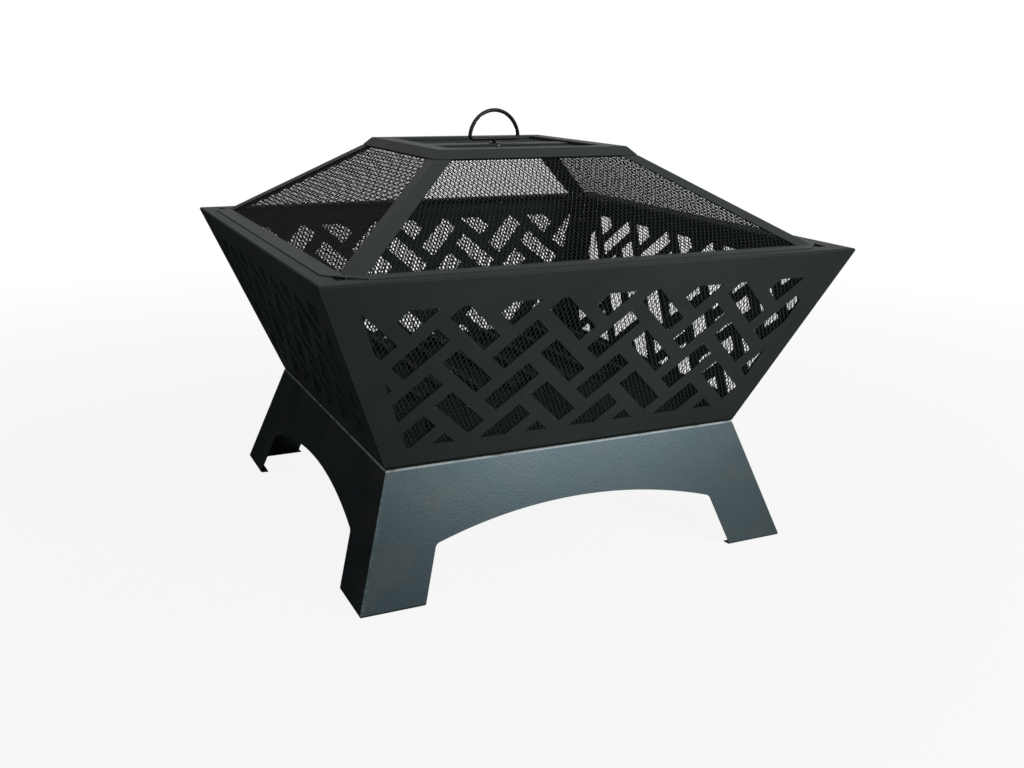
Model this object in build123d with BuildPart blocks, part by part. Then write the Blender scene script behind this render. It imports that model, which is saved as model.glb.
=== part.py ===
from build123d import *
from math import atan2, ceil, cos, degrees, hypot, radians, sin, sqrt
import os

os.makedirs("parts", exist_ok=True)

# Square fire pit, in millimetres: origin on the ground under the middle, front side towards -Y, +Z up.
# A half is the distance from the middle to a side, and a rise is measured up a sloping wall.

# Main halves and heights
foot_half = 287.0
waist_half = 236.0
rim_half = 331.0
stand_height = 150.0
bowl_height = 234.0

# Sheet steel
sheet = 1.2
fold = 2.4
mesh_sheet = 1.0

# Stand panels
foot_lip = 12.0
seat_lip = 24.0
leg_width = 78.0
spring_rise = 67.5
crown_rise = 95.5
spring_fillet = 8.0

# Bowl panels and their herringbone cut-outs
rim_lip = 25.0
border_top = 36.0
border_bottom = 30.0
border_side = 30.0
brick_pitch = 41.2
brick_web = 17.0
brick_start_x = -40.5
brick_start_rise = 71.6
smallest_cut = 25.0
liner_overlap = 12.0

# Corner flanges, which lie back to back on the mitres
flange_width = 20.0
flange_set_back = 1.5
flange_hole = 13.0
stand_flange_end = 14.0
bowl_flange_low = 28.0
bowl_flange_high = 18.0
flange_bolt_end = 26.0
bowl_bolt_count = 2
stand_bolt_count = 2

# Fasteners: small ones on the corner flanges, large ones through the seat.
# Their round shanks and holes have few sides, and so have the drains and the handle's rod.
small_bolt = 5.0
small_across = 8.0
small_head = 3.5
small_nut = 4.0
large_bolt = 6.0
large_across = 10.0
large_head = 4.0
large_nut = 5.0
bolt_clearance = 0.25
nut_clearance = 0.1
bolt_tail = 2.0
round_sides = 8
seat_bolt_inset = 14.0

# Expanded metal of the bowl and the lid, drawn with far fewer and wider diamonds than the real sheet has
diamond_width = 80.0
diamond_rise = 160.0
diamond_strand = 6.0
diamond_border = 5.0
smallest_diamond = 250.0

# Ash pan
pan_gap = 6.0
pan_wall = 20.0
drain_radius = 5.0
drain_spread = 110.0

# Log grate of square bar
grate_length = 340.0
grate_width = 320.0
grate_bar = 8.0
grate_bar_count = 9
grate_rail_inset = 40.0
grate_leg = 40.0
grate_leg_inset = 30.0

# Lid
ring_set_back = 17.0
ring_width = 21.0
ring_sheet = 1.2
ring_cut = 38.0
ring_gap = 1.0
hem_clearance = 4.0
ridge_strip = 16.0
strip_gap = 0.4
cap_half = 126.5
cap_edge = 10.0
cap_height = 110.5
cap_border = 23.0
cap_inner_lip = 4.0
lid_tuck = 7.0
top_mesh_lap = 4.0
strap_width = 30.0
strap_sheet = 1.5
strap_gap = 0.3

# Handle: a D of round rod that turns on a stud
handle_turn = 6.0
handle_width = 73.0
handle_arch = 36.2
handle_bend = 5.0
rod = 5.0
bar_lift = 6.3
stud = 6.0
collar_radius = 6.5
collar = 1.2
turning_gap = 0.3
weld_gap = 0.05

# Derived halves and heights
ring_half = rim_half - ring_set_back
ring_inner_half = ring_half - ring_width
lid_foot_half = ring_inner_half - ring_gap
lid_hem_half = rim_half - rim_lip - hem_clearance
seat_bolt_half = waist_half - seat_bolt_inset
rim_height = stand_height + bowl_height
cap_top = rim_height + cap_height
pan_floor = stand_height + sheet
grate_base = pan_floor + sheet
sides = {"front": 0, "right": 90, "back": 180, "left": 270}

# Planes of the front side: its cross-section (outwards, up) and its right-hand mitre (outwards, up)
section = Plane(origin=(0, 0, 0), x_dir=(0, -1, 0), z_dir=(-1, 0, 0))
mitre = Plane(origin=(0, 0, 0), x_dir=(1, -1, 0), z_dir=(-1, -1, 0))


def wall_plane(low_half, low_height, high_half, high_height):
    """Outer face of a front wall: x to the right, y up the slope, z out of the wall."""
    slope = hypot(high_half - low_half, high_height - low_height)
    out = (high_half - low_half) / slope
    up = (high_height - low_height) / slope
    plane = Plane(origin=(0, -low_half, low_height), x_dir=(1, 0, 0), z_dir=(0, -up, -out))
    return plane, slope


def wall_window(low_half, high_half, slope, top, bottom, side):
    """Trapezium on a sloping wall, set in from its top, bottom and slanting side edges."""
    lean = (high_half - low_half) / slope
    side_inset = side * sqrt(1 + lean**2)
    window_low = low_half + lean * bottom - side_inset
    window_high = low_half + lean * (slope - top) - side_inset
    return [
        (-window_low, bottom),
        (window_low, bottom),
        (window_high, slope - top),
        (-window_high, slope - top),
    ]


def diamond_openings(reach):
    """Openings between the strands of expanded metal, in staggered rows out to a reach on both axes."""
    across = diamond_width / 2
    up = diamond_rise / 2
    shrink = 1 - diamond_strand / 2 * hypot(across, up) / (across * up)
    columns = 2 * ceil(reach / diamond_width)
    rows = 2 * ceil(reach / diamond_rise)
    for stagger in (0, 1):
        with GridLocations(diamond_width, diamond_rise, columns + stagger, rows + stagger):
            Polygon((shrink * across, 0), (0, shrink * up), (-shrink * across, 0), (0, -shrink * up))


def half_fold(points, thickness, radius):
    """Right half of a front side: a folded section run along X and cut off at the mitre."""
    with BuildPart() as side:
        with BuildSketch(section):
            with BuildLine():
                FilletPolyline(*points, radius=radius)
                offset(amount=thickness, side=Side.RIGHT)
            make_face()
        extrude(amount=-max(half for half, height in points))
        split(bisect_by=mitre, keep=Keep.TOP)
    return side.part


def bolt_hole(diameter, clearance, mode=Mode.ADD):
    """Hole outline with few sides, whose flats keep the clearance to a bolt of that diameter."""
    return RegularPolygon(diameter / 2 + clearance, round_sides, major_radius=False, mode=mode)


def corner_line(half):
    """Distance of a corner from the middle, along the diagonal."""
    return half * sqrt(2)


def corner_flange(low, high, bolt_places):
    """Flange on the mitre between two (half, height) ends of a corner, with its bolt holes."""
    outer_inset = flange_set_back * sheet
    with BuildPart() as flange:
        with BuildSketch(mitre):
            Polygon(
                (corner_line(low[0]) - outer_inset, low[1]),
                (corner_line(high[0]) - outer_inset, high[1]),
                (corner_line(high[0]) - flange_width, high[1]),
                (corner_line(low[0]) - flange_width, low[1]),
                align=None,
            )
            with Locations(*bolt_places):
                bolt_hole(small_bolt, bolt_clearance, mode=Mode.SUBTRACT)
        extrude(amount=sheet)
    return flange.part


def along(low, high, height):
    """The (half, height) of a corner at one height between its two ends."""
    share = (height - low[1]) / (high[1] - low[1])
    return low[0] + share * (high[0] - low[0]), height


def bolt_row(low, high, count):
    """Bolt places on the mitre, spread evenly up a corner flange."""
    first = low[1] + flange_bolt_end
    step = (high[1] - flange_bolt_end - first) / (count - 1)
    heights = [first + step * place for place in range(count)]
    return [(corner_line(along(low, high, height)[0]) - flange_hole, height) for height in heights]


def hex_bolt(seat, diameter, across, head, grip, nut):
    """Hexagon bolt whose head stands on the seat plane and whose shank runs through the grip and the nut."""
    with BuildPart() as bolt:
        with BuildSketch(seat):
            RegularPolygon(radius=across / 2, side_count=6, major_radius=False)
        extrude(amount=head)
        with BuildSketch(seat):
            RegularPolygon(diameter / 2, round_sides)
        extrude(amount=-(grip + nut + bolt_tail))
    return bolt.part


def hex_nut(seat, diameter, across, nut):
    """Hexagon nut that stands on the seat plane."""
    with BuildPart() as ring:
        with BuildSketch(seat):
            RegularPolygon(radius=across / 2, side_count=6, major_radius=False)
            bolt_hole(diameter, nut_clearance, mode=Mode.SUBTRACT)
        extrude(amount=nut)
    return ring.part


def mitre_seat(distance, height, out):
    """Plane on the mitre at one bolt place, lifted off it by out and facing the same way."""
    facing = mitre.z_dir if out > 0 else -mitre.z_dir
    spot = mitre.from_local_coords((distance, height, out))
    return Plane(origin=spot, x_dir=(0, 0, 1), z_dir=facing)


def export_sides(shape, name):
    """One node for each of the four sides: the front piece, turned about Z."""
    for side, turn in sides.items():
        with BuildPart() as piece:
            with Locations(Rotation(0, 0, turn)):
                add(shape)
        piece.part.label = f"{name}_{side}"
        export_step(piece.part, f"parts/{name}_{side}.step")


def export_node(piece, name):
    """One node."""
    piece.part.label = name
    export_step(piece.part, f"parts/{name}.step")


# Stand panel: folded sheet with a lip at the top and at the foot, and an arch between its two legs
stand_low = along((foot_half, 0), (waist_half, stand_height), stand_flange_end)
stand_high = along((foot_half, 0), (waist_half, stand_height), stand_height - stand_flange_end)
stand_bolts = bolt_row(stand_low, stand_high, stand_bolt_count)
stand_points = [
    (waist_half - seat_lip, stand_height),
    (waist_half, stand_height),
    (foot_half, 0),
    (foot_half - foot_lip, 0),
]
stand_wall, stand_slope = wall_plane(foot_half, 0, waist_half, stand_height)
leg_inner = foot_half - leg_width
leg_lean = (foot_half - waist_half) / stand_slope
spring_half = leg_inner - leg_lean * spring_rise

with BuildPart() as stand_panel:
    add(half_fold(stand_points, sheet, fold))
    add(corner_flange(stand_low, stand_high, stand_bolts))
    mirror(about=Plane.YZ)
    with BuildSketch(Plane.XY.offset(stand_height)):
        with Locations((0, -seat_bolt_half)):
            bolt_hole(large_bolt, bolt_clearance)
    extrude(amount=2 * sheet, both=True, mode=Mode.SUBTRACT)
    with BuildSketch(stand_wall):
        with BuildLine() as arch:
            low_point = (leg_inner + leg_lean * foot_lip, -foot_lip)
            Line((-low_point[0], low_point[1]), (-spring_half, spring_rise))
            ThreePointArc((-spring_half, spring_rise), (0, crown_rise), (spring_half, spring_rise))
            Line((spring_half, spring_rise), low_point)
            Line(low_point, (-low_point[0], low_point[1]))
            fillet(arch.vertices().group_by(Axis.Y)[-1], radius=spring_fillet)
        make_face()
    extrude(amount=2 * foot_lip, both=True, mode=Mode.SUBTRACT)
export_sides(stand_panel.part, "stand_panel")

# Bowl panel: folded sheet with the rim lip, the seat lip and the herringbone cut-outs
bowl_ends = ((waist_half, stand_height), (rim_half, rim_height))
bowl_low = along(*bowl_ends, stand_height + bowl_flange_low)
bowl_high = along(*bowl_ends, rim_height - bowl_flange_high)
bowl_bolts = bolt_row(bowl_low, bowl_high, bowl_bolt_count)
bowl_points = [
    (rim_half - rim_lip, rim_height),
    (rim_half, rim_height),
    (waist_half, stand_height),
    (waist_half - seat_lip, stand_height),
]
bowl_wall, bowl_slope = wall_plane(waist_half, stand_height, rim_half, rim_height)
brick_run = 2 * sqrt(2) * brick_pitch
brick_rise = sqrt(2) * brick_pitch
columns = ceil(rim_half / brick_run) + 1
rows = ceil(bowl_slope / brick_rise) + 1
falling = [
    (brick_start_x + brick_run * column, brick_start_rise + brick_rise * row)
    for column in range(-columns, columns + 1)
    for row in range(-rows, rows + 1)
]
rising = [(x + brick_run / 2, rise + brick_rise / 2) for x, rise in falling]

with BuildSketch(bowl_wall) as herringbone:
    with Locations(*falling):
        Rectangle(2 * brick_pitch - brick_web, brick_pitch - brick_web, rotation=-45)
    with Locations(*rising):
        Rectangle(2 * brick_pitch - brick_web, brick_pitch - brick_web, rotation=45)
    window = wall_window(waist_half, rim_half, bowl_slope, border_top, border_bottom, border_side)
    Polygon(*window, align=None, mode=Mode.INTERSECT)
cuts = [face for face in herringbone.sketch.faces() if face.area > smallest_cut]

with BuildPart() as bowl_panel:
    add(half_fold(bowl_points, sheet, fold))
    add(corner_flange(bowl_low, bowl_high, bowl_bolts))
    mirror(about=Plane.YZ)
    with BuildSketch(Plane.XY.offset(stand_height)):
        with Locations((0, -seat_bolt_half)):
            bolt_hole(large_bolt, bolt_clearance)
    extrude(amount=2 * sheet, both=True, mode=Mode.SUBTRACT)
    extrude(to_extrude=cuts, amount=2 * sheet, both=True, mode=Mode.SUBTRACT)
export_sides(bowl_panel.part, "bowl_panel")

# Bowl liner: a sheet of expanded metal on the inner face of the panel, behind the cut-outs
with BuildSketch(bowl_wall.offset(-sheet)) as liner_diamonds:
    diamond_openings(rim_half)
    Polygon(*window, align=None, mode=Mode.INTERSECT)
liner_openings = [face for face in liner_diamonds.sketch.faces() if face.area > smallest_diamond]

with BuildPart() as bowl_liner:
    with BuildSketch(bowl_wall.offset(-sheet)):
        liner = wall_window(
            waist_half,
            rim_half,
            bowl_slope,
            border_top - liner_overlap,
            border_bottom - liner_overlap,
            border_side - liner_overlap,
        )
        Polygon(*liner, align=None)
    extrude(amount=-mesh_sheet)
    extrude(to_extrude=liner_openings, amount=2 * mesh_sheet, both=True, mode=Mode.SUBTRACT)
export_sides(bowl_liner.part, "bowl_liner")

# Bolts and nuts that hold the corner flanges together, inside the stand and inside the bowl
for name, places in (("stand_corner", stand_bolts), ("bowl_corner", bowl_bolts)):
    with BuildPart() as corner_bolts:
        with PolarLocations(0, len(sides)):
            for distance, height in places:
                head_seat = mitre_seat(distance, height, sheet)
                add(hex_bolt(head_seat, small_bolt, small_across, small_head, 2 * sheet, small_nut))
    export_node(corner_bolts, f"{name}_bolts")
    with BuildPart() as corner_nuts:
        with PolarLocations(0, len(sides)):
            for distance, height in places:
                add(hex_nut(mitre_seat(distance, height, -sheet), small_bolt, small_across, small_nut))
    export_node(corner_nuts, f"{name}_nuts")

# Ash pan: a shallow flared tray on the seat lip, with drain holes
pan_half = waist_half - pan_gap
pan_flare = degrees(atan2(rim_half - waist_half, bowl_height))
with BuildPart() as ash_pan:
    with BuildSketch(Plane.XY.offset(pan_floor)):
        Rectangle(2 * pan_half, 2 * pan_half)
    extrude(amount=pan_wall, taper=-pan_flare)
    offset(amount=-sheet, openings=ash_pan.faces().sort_by(Axis.Z)[-1])
    with BuildSketch(Plane.XY.offset(pan_floor)):
        with GridLocations(drain_spread, drain_spread, 2, 2):
            RegularPolygon(drain_radius, round_sides)
        with PolarLocations(seat_bolt_half, len(sides)):
            bolt_hole(large_bolt, bolt_clearance)
    extrude(amount=sheet, mode=Mode.SUBTRACT)
export_node(ash_pan, "ash_pan")

# Bolts and nuts that clamp the pan, the bowl and the stand together at the seat
with BuildPart() as seat_bolts:
    on_pan = Plane.XY.offset(grate_base)
    with PolarLocations(seat_bolt_half, len(sides)):
        add(hex_bolt(on_pan, large_bolt, large_across, large_head, 3 * sheet, large_nut))
export_node(seat_bolts, "seat_bolts")

with BuildPart() as seat_nuts:
    under_seat = Plane((0, 0, stand_height - sheet), x_dir=(1, 0, 0), z_dir=(0, 0, -1))
    with PolarLocations(seat_bolt_half, len(sides)):
        add(hex_nut(under_seat, large_bolt, large_across, large_nut))
export_node(seat_nuts, "seat_nuts")

# Log grate: square bars welded across two rails, on four legs that stand in the ash pan
rail_y = grate_width / 2 - grate_rail_inset
leg_x = grate_length / 2 - grate_leg_inset
with BuildPart() as grate_legs:
    with BuildSketch(Plane.XY.offset(grate_base)):
        with GridLocations(2 * leg_x, 2 * rail_y, 2, 2):
            Rectangle(grate_bar, grate_bar)
    extrude(amount=grate_leg)
export_node(grate_legs, "grate_legs")

with BuildPart() as grate_rails:
    with BuildSketch(Plane.XY.offset(grate_base + grate_leg)):
        with GridLocations(0, 2 * rail_y, 1, 2):
            Rectangle(grate_length, grate_bar)
    extrude(amount=grate_bar)
export_node(grate_rails, "grate_rails")

with BuildPart() as grate_bars:
    with BuildSketch(Plane.XY.offset(grate_base + grate_leg + grate_bar)):
        with GridLocations((grate_length - grate_bar) / (grate_bar_count - 1), 0, grate_bar_count, 1):
            Rectangle(grate_bar, grate_width)
    extrude(amount=grate_bar)
export_node(grate_bars, "grate_bars")

# Lid base ring: flat strip that lies on the rim lip, with its corners cut off
with BuildPart() as lid_ring:
    with BuildSketch(Plane.XY.offset(rim_height)) as ring_outline:
        Rectangle(2 * ring_half, 2 * ring_half)
        chamfer(ring_outline.vertices(), length=ring_cut)
        Rectangle(2 * ring_inner_half, 2 * ring_inner_half, mode=Mode.SUBTRACT)
    extrude(amount=ring_sheet)
export_node(lid_ring, "lid_ring")

# Lid mesh: four sloping sides of expanded metal, hemmed under the ring and tucked under the cap's edge
cap_edge_half = cap_half + cap_edge
cap_edge_height = cap_top - cap_edge
lid_top = (cap_edge_half, cap_edge_height - sheet * sqrt(2))
lid_pitch = (lid_top[1] - rim_height) / (lid_foot_half - lid_top[0])
tuck = (lid_top[0] - lid_tuck, lid_top[1] + lid_pitch * lid_tuck)
lid_points = [tuck, (lid_foot_half, rim_height), (lid_hem_half, rim_height)]
lid_wall, lid_slope = wall_plane(lid_foot_half, rim_height, *lid_top)

with BuildSketch(lid_wall) as lid_diamonds:
    diamond_openings(lid_foot_half)
    net = wall_window(lid_foot_half, lid_top[0], lid_slope, diamond_border, diamond_border, ridge_strip)
    Polygon(*net, align=None, mode=Mode.INTERSECT)
side_openings = [face for face in lid_diamonds.sketch.faces() if face.area > smallest_diamond]

with BuildPart() as lid_mesh:
    add(half_fold(lid_points, mesh_sheet, mesh_sheet))
    mirror(about=Plane.YZ)
    extrude(to_extrude=side_openings, amount=2 * mesh_sheet, both=True, mode=Mode.SUBTRACT)
export_sides(lid_mesh.part, "lid_mesh")

# Ridge strips: angles of sheet that cover the seams of the mesh, from the ring up to the cap
ridge_run = hypot(lid_foot_half - lid_top[0], lid_slope)
wing = ridge_strip * ridge_run / lid_slope
strip_top = lid_slope - strip_gap
strip_top_half = lid_foot_half - (lid_foot_half - lid_top[0]) * strip_top / lid_slope
with BuildPart() as ridge:
    with BuildSketch(lid_wall):
        Polygon(
            (lid_foot_half - wing, 0),
            (lid_foot_half + wing, 0),
            (strip_top_half + wing, strip_top),
            (strip_top_half - wing, strip_top),
            align=None,
        )
    extrude(amount=sheet)
    split(bisect_by=mitre, keep=Keep.TOP)
    mirror(about=mitre)
    split(bisect_by=Plane.XY.offset(rim_height + ring_sheet), keep=Keep.TOP)
export_sides(ridge.part, "lid_ridge")

# Lid cap: square frame with a steep outer edge and a short inner lip
cap_inner = cap_half - cap_border
mesh_level = cap_top - cap_inner_lip
cap_points = [
    (cap_inner, mesh_level),
    (cap_inner, cap_top),
    (cap_half, cap_top),
    (cap_edge_half, cap_edge_height),
]
with BuildPart() as lid_cap:
    with PolarLocations(0, len(sides)):
        add(half_fold(cap_points, sheet, fold / 2))
    mirror(about=Plane.YZ)
export_node(lid_cap, "lid_cap")

# Top mesh, welded under the inner lip, and the strap across it that carries the handle
stud_hole = stud / 2 + turning_gap
top_opening = cap_inner - diamond_border
with BuildSketch(Plane.XY.offset(mesh_level)) as top_diamonds:
    diamond_openings(top_opening)
    Rectangle(2 * top_opening, 2 * top_opening, mode=Mode.INTERSECT)
    Rectangle(2 * top_opening, strap_width, mode=Mode.SUBTRACT)
top_openings = [face for face in top_diamonds.sketch.faces() if face.area > smallest_diamond]

with BuildPart() as lid_top_mesh:
    with BuildSketch(Plane.XY.offset(mesh_level)):
        Rectangle(2 * (cap_inner + top_mesh_lap), 2 * (cap_inner + top_mesh_lap))
        Circle(stud_hole, mode=Mode.SUBTRACT)
    extrude(amount=-mesh_sheet)
    extrude(to_extrude=top_openings, amount=2 * mesh_sheet, both=True, mode=Mode.SUBTRACT)
export_node(lid_top_mesh, "lid_top_mesh")

with BuildPart() as lid_strap:
    with BuildSketch(Plane.XY.offset(mesh_level)):
        Rectangle(2 * (cap_inner - strap_gap), strap_width)
        Circle(stud_hole, mode=Mode.SUBTRACT)
    extrude(amount=strap_sheet)
export_node(lid_strap, "lid_strap")

# Handle: round rod bent into a closed D, standing on its straight bar
strap_top = mesh_level + strap_sheet
bar_height = strap_top + bar_lift
bar_along = (cos(radians(handle_turn)), sin(radians(handle_turn)), 0)
bar_across = (sin(radians(handle_turn)), -cos(radians(handle_turn)), 0)
handle_plane = Plane(origin=(0, 0, bar_height), x_dir=bar_along, z_dir=bar_across)
with BuildPart() as handle:
    with BuildLine(handle_plane) as bend:
        Line((-handle_width / 2, 0), (handle_width / 2, 0))
        ThreePointArc((handle_width / 2, 0), (0, handle_arch), (-handle_width / 2, 0))
        fillet(bend.vertices(), radius=handle_bend)
    with BuildSketch(Plane(origin=bend.line @ 0, z_dir=bend.line % 0)):
        RegularPolygon(rod / 2, round_sides)
    sweep()
export_node(handle, "handle")

# Handle stud: a collar on the strap, a neck welded to the bar and a shank for the nut below
shank_end = mesh_level - mesh_sheet - turning_gap - large_nut - bolt_tail
with BuildPart() as handle_stud:
    with BuildSketch(Plane.XY.offset(shank_end)):
        Circle(stud / 2)
    extrude(amount=bar_height - shank_end)
    with BuildSketch(Plane.XY.offset(strap_top + turning_gap)):
        Circle(collar_radius)
    extrude(amount=collar)
    with BuildSketch(Plane(origin=(0, 0, bar_height), z_dir=bar_along)):
        Circle(rod / 2 + weld_gap)
    extrude(amount=stud, both=True, mode=Mode.SUBTRACT)
export_node(handle_stud, "handle_stud")

with BuildPart() as handle_nut:
    nut_under = Plane((0, 0, mesh_level - mesh_sheet - turning_gap), x_dir=(1, 0, 0), z_dir=(0, 0, -1))
    add(hex_nut(nut_under, stud, large_across, large_nut))
export_node(handle_nut, "handle_nut")
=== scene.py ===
from math import ceil, cos, floor, hypot, radians, sin, sqrt

import bpy
import numpy as np
from mathutils import Matrix, Vector


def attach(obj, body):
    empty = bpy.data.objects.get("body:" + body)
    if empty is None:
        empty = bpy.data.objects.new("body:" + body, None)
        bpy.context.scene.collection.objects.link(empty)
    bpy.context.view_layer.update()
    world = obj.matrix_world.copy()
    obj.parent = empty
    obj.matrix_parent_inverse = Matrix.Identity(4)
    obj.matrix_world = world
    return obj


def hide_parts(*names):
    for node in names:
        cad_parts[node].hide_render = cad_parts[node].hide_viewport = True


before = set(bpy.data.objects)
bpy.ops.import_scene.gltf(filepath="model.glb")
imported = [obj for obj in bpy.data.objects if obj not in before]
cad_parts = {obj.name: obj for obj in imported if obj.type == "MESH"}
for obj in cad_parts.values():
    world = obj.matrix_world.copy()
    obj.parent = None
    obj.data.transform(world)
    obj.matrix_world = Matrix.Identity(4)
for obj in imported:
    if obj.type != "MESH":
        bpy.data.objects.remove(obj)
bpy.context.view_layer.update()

# Stand panels
# Four arched panels of folded sheet steel, which lean back from the feet to the seat of the bowl.
# They are sprayed with a satin slate paint and scuffed beside the left corners, with a painted highlight
# along the top fold and painted shade towards the corners.


class Channel:
    """A value that varies over a surface. Arithmetic on it adds Math nodes to its finish."""

    def __init__(self, finish, socket):
        self.finish = finish
        self.socket = socket

    def maths(self, operation, *values):
        return self.finish.node("ShaderNodeMath", {"operation": operation}, dict(enumerate(values)))

    def __add__(self, other):
        return self.maths("ADD", self, other)

    __radd__ = __add__

    def __sub__(self, other):
        return self.maths("SUBTRACT", self, other)

    def __rsub__(self, other):
        return self.maths("SUBTRACT", other, self)

    def __mul__(self, other):
        return self.maths("MULTIPLY", self, other)

    __rmul__ = __mul__

    def __abs__(self):
        return self.maths("ABSOLUTE", self)

    def ramp(self, low, high):
        """0 at low and 1 at high, in a straight line between them and level beyond."""
        span = {"Value": self, "From Min": low, "From Max": high}
        return self.finish.node("ShaderNodeMapRange", {}, span)

    def drift(self, amount):
        """Noise moved from about 0.5 to about 0, times an amount."""
        return (self - 0.5) * amount


class Finish:
    """A material, made node by node."""

    def __init__(self, name):
        self.material = bpy.data.materials.new(name)
        self.material.use_nodes = True
        self.tree = self.material.node_tree
        self.tree.nodes.clear()

    def node(self, kind, settings, inputs, output=0):
        """One node: its settings first, then values or channels for its sockets. Returns one output."""
        made = self.tree.nodes.new(kind)
        for name, value in settings.items():
            setattr(made, name, value)
        for name, value in inputs.items():
            if isinstance(value, Channel):
                self.tree.links.new(value.socket, made.inputs[name])
            else:
                made.inputs[name].default_value = value
        return Channel(self, made.outputs[output]) if made.outputs else None

    def axes(self):
        """The x, y and z of a point of the object."""
        place = self.node("ShaderNodeTexCoord", {}, {}, "Object")
        return [self.node("ShaderNodeSeparateXYZ", {}, {0: place}, axis) for axis in range(3)]

    def noise(self, grain, detail=2.0):
        """Soft noise about 0.5, in patches about one grain across, in metres."""
        place = self.node("ShaderNodeTexCoord", {}, {}, "Object")
        return self.node("ShaderNodeTexNoise", {}, {"Vector": place, "Scale": 1 / grain, "Detail": detail})

    def blend(self, share, first, second):
        """The first colour where the share is 0 and the second where it is 1."""
        return self.node("ShaderNodeMix", {"data_type": "RGBA"}, {0: share, 6: first, 7: second}, 2)

    def surface(self, inputs):
        """Closes the material with one Principled shader."""
        shader = self.node("ShaderNodeBsdfPrincipled", {}, inputs)
        self.node("ShaderNodeOutputMaterial", {}, {"Surface": shader})
        return self


def shade(colour, factor):
    """A colour made darker or lighter, with an alpha of 1."""
    return (*(part * factor for part in colour), 1.0)


cloud_size = 0.11
grain_size = 0.0011
darkest, palest = 0.6, 1.4
painted_corner_shade_reach = 0.16
warm_size = 0.05
warm_spread = (0.45, 0.70)
warm_share = 0.7
groove_height = 0.1518
groove_shadow_reach = (0.0018, 0.0028)
unlit = 0.15
unlit_dulling = 0.5
peel_size = 0.0028
peel_depth = 0.0004
peel_strength = 0.25
untinted = (1.0, 1.0, 1.0)


def sprayed_paint(name, colour, warm, wear_and_highlight_colour, wear_and_highlight, corner, roughness, gloss, tint=untinted, inside=None):
    """Sprayed paint: slow clouds and fine grain in the colour, with warm patches, painted shade towards
    the corners of each face and a painted shadow in the groove over the stand, dark and dull on the
    inside.
    It has an orange-peel skin, and pale wear and painted highlights where the piece's function says."""
    paint = Finish(name)
    cloud = paint.noise(cloud_size)
    grain = paint.noise(grain_size, 1.0)
    peel = paint.noise(peel_size)
    x, y, z = paint.axes()
    off_corner = abs(abs(x) - abs(y))
    # Painted shade: each face is darker towards its corners and lighter in its middle, by the corner
    # amount.
    light = 0.5 + cloud.drift(0.4) + grain.drift(0.25) + off_corner.ramp(0.0, painted_corner_shade_reach).drift(corner)
    tone = paint.blend(light, shade(colour, darkest), shade(colour, palest))
    warmth = paint.noise(warm_size).ramp(*warm_spread) * warm_share
    tone = paint.blend(warmth, tone, shade(warm, 1.0))
    # Painted shadow: a dark band in the groove between the bowl and the stand.
    groove = 1 - abs(z - groove_height).ramp(*groove_shadow_reach)
    tone = paint.blend(groove, tone, shade(colour, unlit))
    dullness = roughness + cloud.drift(0.15) + grain.drift(0.12)
    # Faces that look inwards are made darker and duller.
    if inside:
        facing_in = inside(x, y, z)
        tone = paint.blend(facing_in, tone, shade(colour, unlit))
        dullness = dullness + facing_in * unlit_dulling
    bumps = {"Strength": peel_strength, "Distance": peel_depth, "Height": peel * 0.7 + grain * 0.3}
    skin = paint.node("ShaderNodeBump", {}, bumps)
    # The pale colour shows the piece's wear, and on the stand also a painted highlight along the top fold.
    return paint.surface({
        "Base Color": paint.blend(wear_and_highlight(paint, off_corner, z), tone, shade(wear_and_highlight_colour, 1.0)),
        "Roughness": dullness,
        "Specular IOR Level": gloss,
        "Specular Tint": (*tint, 1.0),
        "Normal": skin,
    })


def finish_nodes(finish, *names):
    """Gives nodes of the frame their finish."""
    for name in names:
        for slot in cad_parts[name].material_slots:
            slot.material = finish.material


sides = {"front": 0, "right": 90, "back": 180, "left": 270}
slate = (0.022, 0.031, 0.034)
slate_sheen = (0.64, 0.90, 1.00)
slate_warm = (0.042, 0.040, 0.036)
# Pale colour of the scuffs, and of the painted highlight on the top fold.
slate_wear_and_highlight = (0.64, 0.70, 0.70)
left_fade = 0.1
mitre_width = 0.001
corner_rub = 0.0065
scuff_pitch = 0.0034
scuff_length = 0.007
scuff_spread = (0.45, 0.62)
scuff_patch = 0.014
scuff_patch_spread = (0.38, 0.60)
scuffs_at_foot, scuffs_at_top = 0.20, 0.05
scuff_thinning = (0.05, 0.14)
# A painted highlight on the stand's top fold: its band of height, its patches, and its share away from the
# left side.
fold_highlight_band = (0.1474, 0.1486)
fold_highlight_patch = 0.02
fold_highlight_spread = (0.2, 0.5)
fold_highlight_off_left = 0.5
foot_half = 0.287
stand_lean = 0.34
inner_face = (0.0004, 0.0010)


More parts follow.
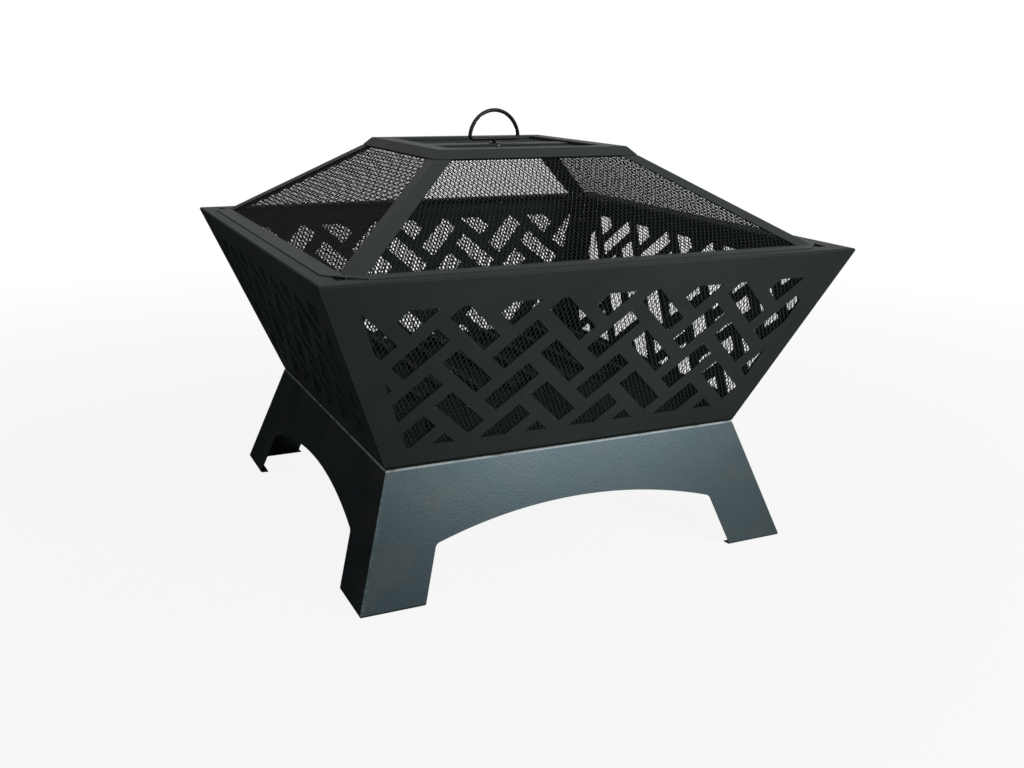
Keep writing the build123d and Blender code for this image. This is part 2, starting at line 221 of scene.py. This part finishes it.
def stand_scuffs_and_fold_highlight(paint, off_corner, height):
    """Slanting scuffs beside the left corners, fewer towards the top, and a painted highlight: a thin
    broken pale line on the top fold, brighter on the left side."""
    x, y = paint.axes()[:2]
    left = (0 - x).ramp(0.0, left_fade)
    left_side = (0 - x - abs(y)).ramp(0.0, mitre_width)
    along = paint.node("ShaderNodeCombineXYZ", {}, {
        0: (height - off_corner) * (1 / scuff_pitch),
        1: (height + off_corner) * (1 / scuff_length),
    })
    scuffs = paint.node("ShaderNodeTexNoise", {}, {"Vector": along, "Scale": 1.0}).ramp(*scuff_spread)
    patches = paint.noise(scuff_patch).ramp(*scuff_patch_spread)
    strength = scuffs_at_foot - height.ramp(*scuff_thinning) * (scuffs_at_foot - scuffs_at_top)
    corner = (1 - off_corner.ramp(0.0, corner_rub)) * scuffs * strength * patches * left
    # Painted highlight: a thin broken pale line on the top fold, full on the left side and weaker
    # elsewhere.
    fold_highlight_strength = fold_highlight_off_left + (1 - fold_highlight_off_left) * left_side
    fold = height.ramp(*fold_highlight_band) * paint.noise(fold_highlight_patch).ramp(*fold_highlight_spread) * fold_highlight_strength
    return corner.maths("MAXIMUM", corner, fold)


def inside_stand(x, y, z):
    """1 on the faces that look inwards, which lie a sheet's thickness within the leaning outer faces."""
    beside = abs(x).maths("MAXIMUM", abs(x), abs(y))
    return (foot_half - stand_lean * z - beside).ramp(*inner_face)


# The stand's corner amount gives painted shade towards its corners.
stand_paint = sprayed_paint(
    "stand_slate_paint", slate, slate_warm, slate_wear_and_highlight, stand_scuffs_and_fold_highlight,
    corner=0.35, roughness=0.30, gloss=0.25, tint=slate_sheen, inside=inside_stand,
)
finish_nodes(stand_paint, *(f"stand_panel_{side}" for side in sides))

# Corner bolts and nuts of the stand and the bowl, and the seat bolts and nuts
# Hexagon bolts of black zinc-plated steel, which hold the corner flanges and clamp the pan to the seat.
# The plating is dull, with a faint olive and blue cast in patches.
zinc_blue = (0.10, 0.11, 0.13)
zinc_olive = (0.16, 0.15, 0.12)
zinc_cloud = 0.004
zinc_scratch = 0.0005


def zinc_plating(name):
    """Dull black plating: metal whose colour and polish drift in small clouds."""
    zinc = Finish(name)
    cloud = zinc.noise(zinc_cloud, 3.0)
    scratch = zinc.noise(zinc_scratch, 1.0)
    return zinc.surface({
        "Base Color": zinc.blend(cloud, shade(zinc_blue, 1.0), shade(zinc_olive, 1.0)),
        "Metallic": 1.0,
        "Roughness": 0.34 + scratch.drift(0.3),
    })


fastener_zinc = zinc_plating("fastener_zinc")
for group in ("stand_corner", "bowl_corner", "seat"):
    finish_nodes(fastener_zinc, f"{group}_bolts", f"{group}_nuts")

# Bowl panels and ash pan
# Flaring walls of sheet steel with a herringbone cut through them, and a shallow tray for a floor.
# All are sprayed with flat black stove paint, which has a slight green-blue cast.
stove_black = (0.0170, 0.0235, 0.0225)
stove_warm = (0.0185, 0.0220, 0.0190)
stove_rubbed = (0.034, 0.041, 0.039)
edge_rub = 0.0014
edge_patch = 0.006
edge_patch_spread = (0.42, 0.62)


def rubbed_corner(paint, off_corner, height):
    """Thin broken wear on the sharp corners, the same at any height."""
    return (1 - off_corner.ramp(0.0, edge_rub)) * paint.noise(edge_patch, 3.0).ramp(*edge_patch_spread)


# The bowl's larger corner amount gives stronger painted shade towards its corners.
bowl_paint = sprayed_paint(
    "bowl_stove_paint", stove_black, stove_warm, stove_rubbed, rubbed_corner,
    corner=0.6, roughness=0.6, gloss=0.08,
)
finish_nodes(bowl_paint, "ash_pan", *(f"bowl_panel_{side}" for side in sides))

# Bowl liners
# Sheets of expanded metal on the inner faces of the bowl's walls, behind the herringbone.
# Each is slit and stretched into diamonds, with its strands tipped a little like louvres, and the
# left and back walls have a closer sheet than the front and right.
diamond_across = 0.0057
diamond_up = 0.0114
strand_tip = 0.0002


def expanded_metal(strand, sheet, reach, low, high, inside):
    """Diamond mesh in its own plane, across by up by out: its points and its four-sided faces.

    On a lattice with half a diamond between points, a point is the centre of a diamond where its two
    counts add up to an even number, and a crossing of strands elsewhere. Each diamond whose crossings
    lie inside the outline is a ring of four strands. Its opening is the diamond shrunk about its centre
    by half a strand, and tipped out of the plane at the lower end. Rings share their crossings, and
    have an outer wall only where no other ring follows.
    """
    half = np.array([diamond_across, diamond_up]) / 2
    columns = int(reach / half[0]) + 1
    rows = np.arange(floor(low / half[1]), ceil(high / half[1]) + 1)
    lattice = np.stack(np.meshgrid(np.arange(-columns, columns + 1), rows, indexing="ij"), axis=-1)
    centres = lattice[lattice.sum(axis=-1) % 2 == 0]
    steps = np.array([(1, 0), (0, 1), (-1, 0), (0, -1)])
    corners = centres[:, None] + steps
    kept = inside(*np.moveaxis(corners * half, -1, 0)).all(axis=1)
    centres, corners = centres[kept], corners[kept]
    crossings, ring = np.unique(corners.reshape(-1, 2), axis=0, return_inverse=True)
    ring = ring.reshape(-1, 4)

    shrink = 1 - strand / 2 * hypot(*half) / (half[0] * half[1])
    openings = ((centres[:, None] + shrink * steps) * half).reshape(-1, 2)
    tip = np.tile(-strand_tip * steps[:, 1], len(centres))
    front = np.concatenate([
        np.column_stack([crossings * half, np.zeros(len(crossings))]),
        np.column_stack([openings, tip]),
    ])
    lift = np.array([0, 0, sheet / 2])
    points = np.concatenate([front + lift, front - lift])

    opening = len(crossings) + np.arange(len(openings)).reshape(-1, 4)
    back = len(front)
    following = np.roll(np.arange(4), -1)
    next_ring, next_opening = ring[:, following], opening[:, following]
    beyond = centres[:, None] + steps + steps[following]
    stride = 4 * (columns + len(rows))
    alone = ~np.isin(beyond @ (stride, 1), centres @ (stride, 1))
    quads = [
        np.stack([ring, next_ring, next_opening, opening], axis=-1),
        np.stack([opening, next_opening, next_ring, ring], axis=-1) + back,
        np.stack([opening, next_opening, next_opening + back, opening + back], axis=-1),
        np.stack([next_ring, ring, ring + back, next_ring + back], axis=-1)[alone],
    ]
    return points, np.concatenate([faces.reshape(-1, 4) for faces in quads])


def new_piece(name, points, quads, finish, body):
    """One object of the scene, in place, from arrays of points and four-sided faces."""
    mesh = bpy.data.meshes.new(name)
    mesh.vertices.add(len(points))
    mesh.vertices.foreach_set("co", points.astype(np.float32).ravel())
    mesh.loops.add(quads.size)
    mesh.loops.foreach_set("vertex_index", quads.astype(np.int32).ravel())
    mesh.polygons.add(len(quads))
    mesh.polygons.foreach_set("loop_start", np.arange(0, quads.size, 4, dtype=np.int32))
    mesh.update(calc_edges=True)
    mesh.materials.append(finish.material)
    piece = bpy.data.objects.new(name, mesh)
    bpy.context.scene.collection.objects.link(piece)
    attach(piece, body)
    return piece


def turned(points, degrees):
    """Points turned about the pit's upright axis, from the front to another side."""
    turn = radians(degrees)
    matrix = np.array([[cos(turn), -sin(turn), 0], [sin(turn), cos(turn), 0], [0, 0, 1]])
    return points @ matrix.T


strand_cloud = 0.05
strand_grain = 0.0016
strand_darkest, strand_palest = 0.7, 1.3


def strand_paint(name, colour):
    """Thin black paint on strands: nearly even, with slow clouds in its colour and a fine grain."""
    paint = Finish(name)
    cloud = paint.noise(strand_cloud)
    grain = paint.noise(strand_grain, 1.0)
    light = cloud * 0.5 + grain * 0.5
    return paint.surface({
        "Base Color": paint.blend(light, shade(colour, strand_darkest), shade(colour, strand_palest)),
        "Roughness": 0.6 + grain.drift(0.3),
        "Specular IOR Level": 0.09,
    })


liner_black = (0.0140, 0.0205, 0.0195)
waist_half = 0.236
rim_half = 0.331
stand_height = 0.150
rim_height = 0.384
panel_sheet = 0.0012
mesh_sheet = 0.0010
liner_top = 0.024
liner_bottom = 0.018
liner_side = 0.018
liner_strand = {"front": 0.00085, "right": 0.00070, "back": 0.00200, "left": 0.00125}
liner_strand_sheet = {"front": 0.0004, "right": 0.0004, "back": 0.0006, "left": 0.0006}

bowl_slope = hypot(rim_half - waist_half, rim_height - stand_height)
bowl_lean = (rim_half - waist_half) / bowl_slope
bowl_up = np.array([0, -bowl_lean, (rim_height - stand_height) / bowl_slope])
bowl_out = np.array([0, -bowl_up[2], -bowl_lean])
liner_inset = liner_side * sqrt(1 + bowl_lean**2)


def in_liner(across, up):
    """The liner's trapezium on the wall, set in from the wall's edges."""
    level = (up >= liner_bottom) & (up <= bowl_slope - liner_top)
    return level & (np.abs(across) <= waist_half + bowl_lean * up - liner_inset)


liner_paint = strand_paint("liner_black_paint", liner_black)
liner_middle = np.array([0, -waist_half, stand_height]) - bowl_out * (panel_sheet + mesh_sheet / 2)
for side, degrees in sides.items():
    flat_mesh, mesh_faces = expanded_metal(
        liner_strand[side], liner_strand_sheet[side],
        reach=rim_half, low=0.0, high=bowl_slope, inside=in_liner,
    )
    liner = liner_middle + flat_mesh @ np.array([[1, 0, 0], bowl_up, bowl_out])
    points = turned(liner, degrees)
    piece = new_piece(f"bowl_mesh_{side}", points, mesh_faces, liner_paint, "pit")
    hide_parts(f"bowl_liner_{side}")

# Log grate
# Square bars of steel welded across two rails, on four short legs in the ash pan.
# They are painted stove black over rough mill scale, with patches of soot and a few rusty freckles.
soot_black = (0.005, 0.005, 0.005)
grate_black = (0.014, 0.014, 0.014)
rust = (0.040, 0.018, 0.009)
soot_patch = 0.012
freckle_size = 0.004
freckle_spread = (0.62, 0.74)
freckle_share = 0.5
pitting_size = 0.0015
pitting_depth = 0.0006


def sooty_paint(name):
    """Thick black paint: patches of soot, a rough skin, and freckles of rust."""
    paint = Finish(name)
    soot = paint.noise(soot_patch, 4.0)
    freckles = paint.noise(freckle_size, 3.0).ramp(*freckle_spread)
    pits = paint.noise(pitting_size)
    black = paint.blend(soot, shade(soot_black, 1.0), shade(grate_black, 1.0))
    bumps = {"Strength": 0.5, "Distance": pitting_depth, "Height": pits + soot}
    skin = paint.node("ShaderNodeBump", {}, bumps)
    return paint.surface({
        "Base Color": paint.blend(freckles * freckle_share, black, shade(rust, 1.0)),
        "Roughness": 0.75 + freckles * 0.2,
        "Specular IOR Level": 0.1,
        "Normal": skin,
    })


grate_paint = sooty_paint("grate_sooty_paint")
finish_nodes(grate_paint, "grate_legs", "grate_rails", "grate_bars")

# Lid ring, ridges, cap and strap
# The frame of the spark screen: a flat ring on the rim, angle strips along the ridges, a top frame
# with a steep edge, and a strap across it. It has the bowl's stove paint, sprayed a little drier.
lid_black = (0.030, 0.038, 0.0365)
lid_warm = (0.031, 0.034, 0.031)
lid_rubbed = (0.046, 0.054, 0.052)
lid_paint = sprayed_paint(
    "lid_stove_paint", lid_black, lid_warm, lid_rubbed, rubbed_corner,
    corner=0.0, roughness=0.6, gloss=0.1,
)
finish_nodes(lid_paint, "lid_ring", "lid_cap", "lid_strap", *(f"lid_ridge_{side}" for side in sides))

# Lid mesh
# Four sloping sides of expanded metal, hemmed under the ring and tucked under the cap, with a strip of
# uncut sheet along both edges, and a flat square of it under the strap. All have thin black paint.
lid_foot_half = 0.292
lid_hem = 0.010
lid_tuck_half = 0.1295
lid_tuck_height = 0.48724
ring_corner = 0.598
lid_strand = 0.00100
lid_strand_sheet = 0.0004
strip_under, strip_over = -0.0012, -0.0007
strip_width = 0.007
mesh_black = (0.0050, 0.0076, 0.0070)
lid_slope = hypot(lid_foot_half - lid_tuck_half, lid_tuck_height - rim_height)
lid_lean = (lid_foot_half - lid_tuck_half) / lid_slope
lid_rise = (lid_tuck_height - rim_height) / lid_slope


def lid_half(up):
    """Half width of a lid side, mitre to mitre, so far up its slope, or out along its hem below 0."""
    return lid_foot_half - np.where(up > 0, lid_lean, 1.0) * up


def lid_reach(up):
    """How far a lid side reaches across: to its mitre, or to the cut beside the ring's cut-off corner."""
    return np.minimum(lid_half(up), ring_corner - lid_half(up))


def in_lid_side(across, up):
    """A lid side with its hem, between its two mitres."""
    return (up >= -lid_hem) & (up <= lid_slope) & (np.abs(across) <= lid_reach(up))


def lid_side(flat):
    """Lays flat mesh on the front of the lid: up the slope, and flat outwards along the hem."""
    across, up, out = flat.T
    sloping = up > 0
    middle = out - mesh_sheet / 2
    outwards = lid_half(up) + middle * np.where(sloping, lid_rise, 0.0)
    height = rim_height + np.where(sloping, lid_rise * up, 0.0) + middle * np.where(sloping, lid_lean, 1.0)
    return np.column_stack([across, -outwards, height])


def uncut_strip(rows, under, over):
    """Closed flat strip across a lid side: from row to row up the slope, and from under to over out of it.

    Each row has four points, left and right, each under and over, as far apart as the lid side reaches.
    """
    up = np.repeat(rows, 4)
    across = np.tile([-1, -1, 1, 1], len(rows)) * lid_reach(up)
    out = np.tile([under, over], 2 * len(rows))
    around = np.array([(1, 3, 7, 5), (0, 4, 6, 2), (0, 1, 5, 4), (2, 6, 7, 3)])
    steps = 4 * np.arange(len(rows) - 1)
    ends = np.array([(0, 2, 3, 1), np.array((0, 1, 3, 2)) + 4 * len(rows) - 4])
    faces = np.concatenate([(steps[:, None, None] + around).reshape(-1, 4), ends])
    return np.column_stack([across, up, out]), faces


mesh_paint = strand_paint("lid_mesh_black_paint", mesh_black)
strips = {
    "foot": [-lid_hem, lid_foot_half - ring_corner / 2, 0.0],
    "top": [lid_slope - strip_width, lid_slope],
}
flat_mesh, mesh_faces = expanded_metal(
    lid_strand, lid_strand_sheet,
    reach=lid_foot_half + lid_hem, low=-lid_hem, high=lid_slope, inside=in_lid_side,
)
for side, degrees in sides.items():
    points = turned(lid_side(flat_mesh), degrees)
    piece = new_piece(f"lid_screen_{side}", points, mesh_faces, mesh_paint, "lid")
    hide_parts(f"lid_mesh_{side}")
    for edge, rows in strips.items():
        flat_strip, strip_faces = uncut_strip(rows, strip_under, strip_over)
        points = turned(lid_side(flat_strip), degrees)
        new_piece(f"lid_{edge}_strip_{side}", points, strip_faces, mesh_paint, "lid")

top_mesh_half = 0.1075
top_mesh_level = 0.4905
stud_hole = 0.007


def in_top_mesh(across, up):
    """The top square, without the diamonds that the stud passes through."""
    square = np.maximum(np.abs(across), np.abs(up)) <= top_mesh_half
    return square & (np.hypot(across, up) >= stud_hole)


flat_mesh, mesh_faces = expanded_metal(
    lid_strand, lid_strand_sheet,
    reach=top_mesh_half, low=-top_mesh_half, high=top_mesh_half, inside=in_top_mesh,
)
points = flat_mesh + np.array([0, 0, top_mesh_level - mesh_sheet / 2])
piece = new_piece("lid_top_screen", points, mesh_faces, mesh_paint, "lid")
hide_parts("lid_top_mesh")

# Handle
# Round rod bent into a closed D, which stands on its straight bar, welded to a stud that turns in the
# strap. Rod and stud have a glossier black enamel than the lid, and the nut below is zinc-plated.
handle_turn = radians(6)
handle_width = 0.073
handle_arch = 0.0362
handle_bend = 0.005
rod_radius = 0.00249
rod_sides = 20
bar_steps, bend_steps, arch_steps = 8, 14, 32
bar_height = 0.4983


def handle_line():
    """Closed line of the D in its own plane: the bar, a bend, the arch and a bend back.

    The arch is the circle through the ends and the top of the D. Each bend is a circle inside the D
    that touches the bar and the arch, so its centre is one bend radius above the bar and nearer to the
    arch's centre than the arch by one bend radius.
    """
    arch_radius = (handle_width**2 / 4 + handle_arch**2) / (2 * handle_arch)
    arch_low = handle_arch - arch_radius
    bend_x = sqrt((arch_radius - handle_bend) ** 2 - (handle_bend - arch_low) ** 2)
    spring = np.arctan2(handle_bend - arch_low, bend_x)
    bar = np.column_stack([np.linspace(0, bend_x, bar_steps, endpoint=False), np.zeros(bar_steps)])
    turn = np.linspace(-np.pi / 2, spring, bend_steps, endpoint=False)
    bend = np.column_stack([bend_x + handle_bend * np.cos(turn), handle_bend + handle_bend * np.sin(turn)])
    sweep = np.linspace(spring, np.pi / 2, arch_steps, endpoint=False)
    arch = np.column_stack([arch_radius * np.cos(sweep), arch_low + arch_radius * np.sin(sweep)])
    right_half = np.concatenate([bar, bend, arch])
    left_half = right_half[:0:-1] * (-1, 1)
    return np.concatenate([right_half, [(0, handle_arch)], left_half])


def rod_along(line, radius, around):
    """Circle carried along a closed flat line, with its own axes across the line and out of its plane."""
    ahead = np.roll(line, -1, axis=0) - np.roll(line, 1, axis=0)
    ahead /= np.linalg.norm(ahead, axis=1)[:, None]
    across = np.column_stack([ahead[:, 1], -ahead[:, 0]])
    angle = np.linspace(0, 2 * np.pi, around, endpoint=False)
    flat = line[:, None] + radius * np.cos(angle)[None, :, None] * across[:, None]
    out = np.broadcast_to(radius * np.sin(angle), flat.shape[:2])
    index = np.arange(len(line) * around).reshape(len(line), around)
    onwards = np.roll(index, -1, axis=0)
    quads = np.stack([index, onwards, np.roll(onwards, -1, axis=1), np.roll(index, -1, axis=1)], axis=-1)
    return np.dstack([flat, out]).reshape(-1, 3), quads.reshape(-1, 4)


enamel_black = (0.004, 0.0045, 0.0045)
enamel_runs = 0.009
enamel_grain = 0.0009
run_depth = 0.0003


def rod_enamel(name, colour):
    """Black enamel on rod: smooth, with faint runs in its skin and its colour, and a fine grain."""
    enamel = Finish(name)
    runs = enamel.noise(enamel_runs)
    grain = enamel.noise(enamel_grain, 1.0)
    skin = enamel.node("ShaderNodeBump", {}, {"Strength": 0.15, "Distance": run_depth, "Height": runs})
    light = runs * 0.6 + grain * 0.4
    return enamel.surface({
        "Base Color": enamel.blend(light, shade(colour, darkest), shade(colour, palest)),
        "Roughness": 0.28 + runs.drift(0.2),
        "Specular IOR Level": 0.14,
        "Normal": skin,
    })


handle_enamel = rod_enamel("handle_enamel", enamel_black)
flat_rod, rod_faces = rod_along(handle_line(), rod_radius, rod_sides)
along_bar = np.array([cos(handle_turn), sin(handle_turn), 0])
across_bar = np.array([sin(handle_turn), -cos(handle_turn), 0])
points = np.array([0, 0, bar_height]) + flat_rod @ np.array([along_bar, [0, 0, 1], across_bar])
piece = new_piece("handle_rod", points, rod_faces, handle_enamel, "lid_handle")
piece.data.shade_smooth()
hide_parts("handle")
finish_nodes(handle_enamel, "handle_stud")
finish_nodes(fastener_zinc, "handle_nut")

# Floor
# A plain pale floor that keeps the soft shadow of the pit and fades into the white around it.
# It is part of the studio, not of the pit.
floor_half = 8.0
floor_pale = (0.5, 0.5, 0.5, 1.0)
floor_white = 0.90
shadow_near, shadow_far = 0.3, 4.0


def seen_directly(finish):
    """1 for rays from the camera, in a reflection or through glass, and 0 for the light on the scene."""
    outputs = ("Is Camera Ray", "Is Glossy Ray", "Is Transmission Ray")
    camera, glossy, through = (finish.node("ShaderNodeLightPath", {}, {}, output) for output in outputs)
    return camera.maths("MAXIMUM", camera, glossy.maths("MAXIMUM", glossy, through))


def pale_floor(name):
    """Pale floor: largely white of itself where it is seen, and wholly so away from the pit, by the
    square of the distance."""
    finish = Finish(name)
    x, y = finish.axes()[:2]
    away = (x * x + y * y).ramp(shadow_near, shadow_far)
    lit = finish.node("ShaderNodeBsdfDiffuse", {}, {"Color": floor_pale})
    white = finish.node("ShaderNodeEmission", {}, {"Strength": 1.0})
    share = seen_directly(finish) * (floor_white + (1 - floor_white) * away)
    mixed = finish.node("ShaderNodeMixShader", {}, {0: share, 1: lit, 2: white})
    finish.node("ShaderNodeOutputMaterial", {}, {"Surface": mixed})
    return finish


floor_corners = floor_half * np.array([(-1, -1, 0), (1, -1, 0), (1, 1, 0), (-1, 1, 0)])
floor_mesh = bpy.data.meshes.new("floor")
floor_mesh.from_pydata(floor_corners.tolist(), [], [(0, 1, 2, 3)])
floor_mesh.materials.append(pale_floor("floor_pale").material)
ground = bpy.data.objects.new("floor", floor_mesh)
bpy.context.scene.collection.objects.link(ground)

# Light
# A large soft box from the front right, a wide one overhead, and a low panel behind the pit that lights
# the back of its walls.


def soft_box(name, place, aim, width, height, power):
    """Rectangular studio light at a place, turned towards its aim."""
    lamp = bpy.data.lights.new(name, "AREA")
    lamp.shape = "RECTANGLE"
    lamp.size = width
    lamp.size_y = height
    lamp.energy = power
    box = bpy.data.objects.new(name, lamp)
    box.location = place
    box.rotation_euler = (Vector(aim) - Vector(place)).to_track_quat("-Z", "Y").to_euler()
    box.visible_camera = False
    bpy.context.scene.collection.objects.link(box)


pit_middle = (0.0, 0.0, 0.25)
back_wall = (0.0, 0.3, 0.22)
soft_box("key_box", place=(1.33, -2.65, 1.32), aim=pit_middle, width=1.2, height=0.9, power=80.0)
soft_box("top_box", place=(0.2, 0.2, 2.6), aim=pit_middle, width=2.6, height=2.6, power=8.0)
soft_box("back_box", place=(0.75, 2.6, 0.19), aim=back_wall, width=2.0, height=0.3, power=60.0)

# Black card
# A black card on the floor at the left and upright behind it, which only reflections see, as a
# photographer stands one beside a glossy object to keep its shaded side deep.
card_left, card_right = -2.4, -0.22
card_near, card_far = -0.30, 2.2
card_low, card_top = 0.001, 1.2
card_colour = (0.02, 0.02, 0.02, 1.0)
card_mesh = bpy.data.meshes.new("black_card")
card_mesh.from_pydata(
    [
        (card_left, card_near, card_low),
        (card_right, card_near, card_low),
        (card_right, card_far, card_low),
        (card_left, card_far, card_low),
        (card_right, card_far, card_top),
        (card_left, card_far, card_top),
    ],
    [],
    [(0, 1, 2, 3), (3, 2, 4, 5)],
)
card_black = Finish("card_black")
card_black.surface({"Base Color": card_colour, "Roughness": 1.0, "Specular IOR Level": 0.0})
card_mesh.materials.append(card_black.material)
flag = bpy.data.objects.new("black_card", card_mesh)
bpy.context.scene.collection.objects.link(flag)
flag.visible_camera = False
flag.visible_diffuse = False
flag.visible_transmission = False
flag.visible_shadow = False

# Room
# An even white room around the floor, which looks white to the camera and in reflections.
# It sheds only a dim light on the pit, so that the soft boxes give its shape.
room_light = 0.06
room = bpy.data.worlds.new("white_room")
room.use_nodes = True
room.node_tree.nodes.clear()


class Room(Finish):
    """The world's nodes, made as a material's are."""

    def __init__(self, world):
        self.tree = world.node_tree


room_nodes = Room(room)
strength = room_light + (1 - room_light) * seen_directly(room_nodes)
background = room_nodes.node("ShaderNodeBackground", {}, {"Color": (1, 1, 1, 1), "Strength": strength})
room_nodes.node("ShaderNodeOutputWorld", {}, {"Surface": background})
scene = bpy.context.scene
scene.world = room
scene.view_settings.view_transform = "Standard"

# Camera
# At the photograph's viewing angle: from the front left and a little above, close enough for perspective.
# Its place, roll and focal length were fitted to the corners of the pit in the photograph.
view_azimuth = radians(-25.20)
view_elevation = radians(16.14)
view_roll = radians(0.72)
view_distance = 1.520
view_target = Vector((0.0249, -0.0117, 0.1627))
focal_pixels = 1086.0
image_width = 1024.0
film_width = 36.0
nearest_seen = 0.05

view_back = Vector((
    sin(view_azimuth) * cos(view_elevation),
    -cos(view_azimuth) * cos(view_elevation),
    sin(view_elevation),
))
level_right = Vector((cos(view_azimuth), sin(view_azimuth), 0))
level_up = view_back.cross(level_right)
view_right = cos(view_roll) * level_right + sin(view_roll) * level_up
view_up = cos(view_roll) * level_up - sin(view_roll) * level_right
lens = bpy.data.cameras.new("camera")
lens.sensor_width = film_width
lens.lens = focal_pixels / image_width * film_width
lens.clip_start = nearest_seen
camera = bpy.data.objects.new("camera", lens)
view_turn = Matrix((view_right, view_up, view_back)).transposed()
camera.matrix_world = Matrix.Translation(view_target + view_distance * view_back) @ view_turn.to_4x4()
scene.collection.objects.link(camera)
scene.camera = camera
